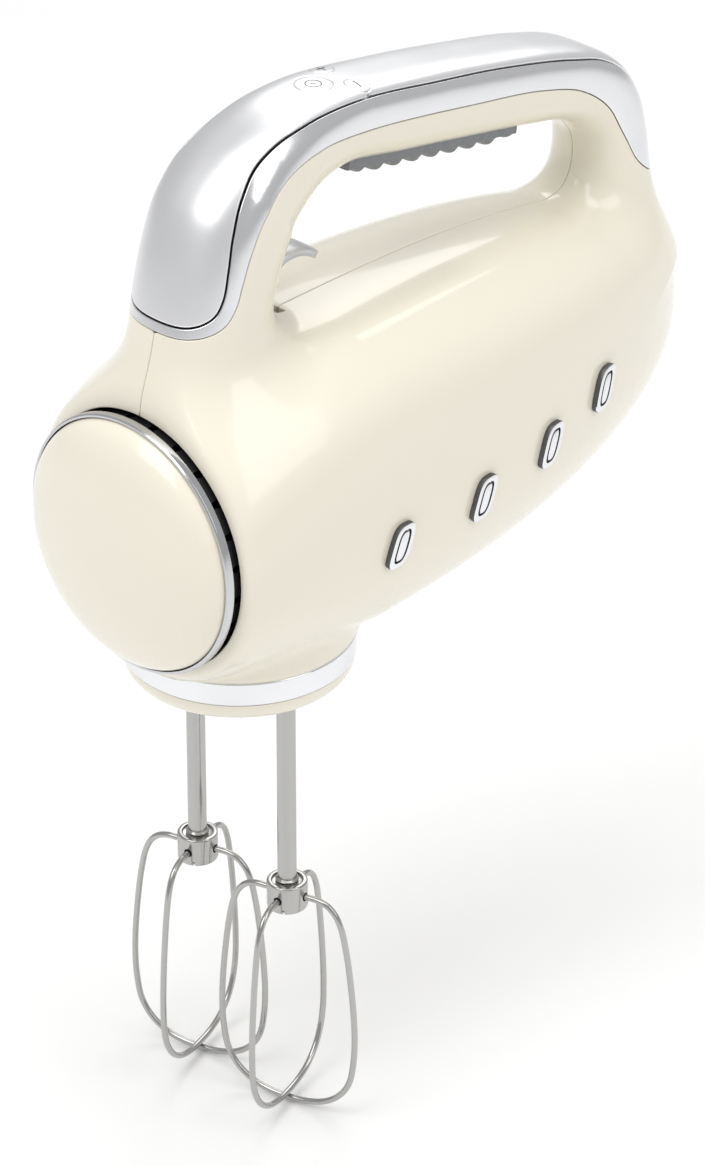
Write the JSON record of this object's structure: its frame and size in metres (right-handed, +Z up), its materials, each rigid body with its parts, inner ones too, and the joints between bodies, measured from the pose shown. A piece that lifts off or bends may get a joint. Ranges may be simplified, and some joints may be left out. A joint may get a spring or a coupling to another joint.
{
  "type": "hand mixer",
  "caption": "Retro electric hand mixer: ivory teardrop body with domed nose and bright ring, silver-topped arched handle, wire beaters driven by a motor and worm gears.",
  "frame": {"origin": "centre of the handle's grip", "axes": "+Z up, -X to the domed front, +Y to the mixer's left; beaters hang along -Z"},
  "size_m": [0.2235, 0.0904, 0.3062],
  "materials": {
    "cream_shell": "glossy ivory moulded shell",
    "chrome_trim": "bright plated ring",
    "silver_panel": "satin silver handle cover",
    "silver_trim": "polished silver band",
    "button_silver": "satin silver cap",
    "grip_rubber": "soft grey grip",
    "black_rubber": "matt black",
    "dark_plastic": "black vent grille",
    "frame_plastic": "natural moulded frame",
    "gear_plastic": "natural acetal gear",
    "beater_steel": "polished stainless",
    "motor_steel": "laminated and turned steel",
    "bearing_brass": "sintered bronze",
    "copper_coil": "enamelled copper",
    "carbon": "carbon block",
    "board_green": "circuit board",
    "spring_steel": "spring wire"
  },
  "bodies": {
    "casing": {"housing_left": "cream_shell", "housing_right": "cream_shell", "front_cap": "cream_shell", "bottom_cap": "cream_shell", "housing_screws": "motor_steel", "handle_panel": "silver_panel", "handle_trim": "silver_trim", "grip_insert": "grip_rubber", "front_ring": "chrome_trim", "vent_baffle": "dark_plastic", "collar_ring": "chrome_trim", "emblem_studs": "chrome_trim", "cord_gland": "black_rubber", "gearbox_frame": "frame_plastic", "frame_screws": "motor_steel", "spindle_bushes": "bearing_brass", "shaft_bearings": "bearing_brass", "motor_stator": "motor_steel", "field_coils": "copper_coil", "motor_bracket": "motor_steel", "brush_holders": "bearing_brass", "carbon_brushes": "carbon", "power_board": "board_green", "noise_capacitor": "dark_plastic", "control_board": "board_green", "tact_switches": "dark_plastic", "ejector_spring": "spring_steel"},
    "rotor": {"motor_shaft": "motor_steel", "worm": "motor_steel", "armature_core": "motor_steel", "armature_windings": "copper_coil", "commutator": "copper_coil", "cooling_fan": "dark_plastic"},
    "ejector": {"ejector_lever": "silver_trim", "ejector_rod": "frame_plastic", "ejector_yoke": "frame_plastic"},
    "power_button": {"button_power": "button_silver"},
    "minus_button": {"button_minus": "button_silver"},
    "plus_button": {"button_plus": "button_silver"},
    "drive_left": {"spindle_left": "motor_steel", "worm_gear_left": "gear_plastic"},
    "pin_left": {"ejector_pin_left": "motor_steel"},
    "beater_left": {"beater_shaft_left": "beater_steel", "beater_hub_left": "beater_steel", "beater_wires_left": "beater_steel"},
    "drive_right": {"spindle_right": "motor_steel", "worm_gear_right": "gear_plastic"},
    "pin_right": {"ejector_pin_right": "motor_steel"},
    "beater_right": {"beater_shaft_right": "beater_steel", "beater_hub_right": "beater_steel", "beater_wires_right": "beater_steel"}
  },
  "joints": [
    {"name": "motor_spin", "type": "hinge", "parent": "casing", "child": "rotor", "pos_m": [-0.06, 0, -0.098], "axis": [1, 0, 0], "continuous": true},
    {"name": "left_drive_spin", "type": "hinge", "parent": "casing", "child": "drive_left", "pos_m": [-0.06, 0.0178, -0.098], "axis": [0, 0, 1], "continuous": true},
    {"name": "right_drive_spin", "type": "hinge", "parent": "casing", "child": "drive_right", "pos_m": [-0.06, -0.0178, -0.098], "axis": [0, 0, 1], "continuous": true},
    {"name": "ejector_push", "type": "slide", "parent": "casing", "child": "ejector", "axis": [0, 0, -1], "range_m": [0, 0.007], "stiffness_N_per_m": 900, "springref_m": -0.002, "deforming": ["ejector_spring"]},
    {"name": "left_pin_push", "type": "slide", "parent": "drive_left", "child": "pin_left", "axis": [0, 0, -1], "range_m": [0, 0.007]},
    {"name": "left_beater_pull", "type": "slide", "parent": "pin_left", "child": "beater_left", "axis": [0, 0, -1], "range_m": [0, 0.05]},
    {"name": "right_pin_push", "type": "slide", "parent": "drive_right", "child": "pin_right", "axis": [0, 0, -1], "range_m": [0, 0.007]},
    {"name": "right_beater_pull", "type": "slide", "parent": "pin_right", "child": "beater_right", "axis": [0, 0, -1], "range_m": [0, 0.05]},
    {"name": "power_press", "type": "slide", "parent": "casing", "child": "power_button", "axis": [0, 0, -1], "range_m": [0, 0.0008], "stiffness_N_per_m": 1500, "springref_m": -0.0005},
    {"name": "minus_press", "type": "slide", "parent": "casing", "child": "minus_button", "axis": [0, 0, -1], "range_m": [0, 0.0008], "stiffness_N_per_m": 1500, "springref_m": -0.0005},
    {"name": "plus_press", "type": "slide", "parent": "casing", "child": "plus_button", "axis": [0, 0, -1], "range_m": [0, 0.0008], "stiffness_N_per_m": 1500, "springref_m": -0.0005}
  ],
  "couplings": [
    {"joint": "left_drive_spin", "follows": "motor_spin", "ratio": -0.071429},
    {"joint": "right_drive_spin", "follows": "motor_spin", "ratio": 0.071429},
    {"joint": "left_pin_push", "follows": "ejector_push", "ratio": 1},
    {"joint": "right_pin_push", "follows": "ejector_push", "ratio": 1}
  ]
}
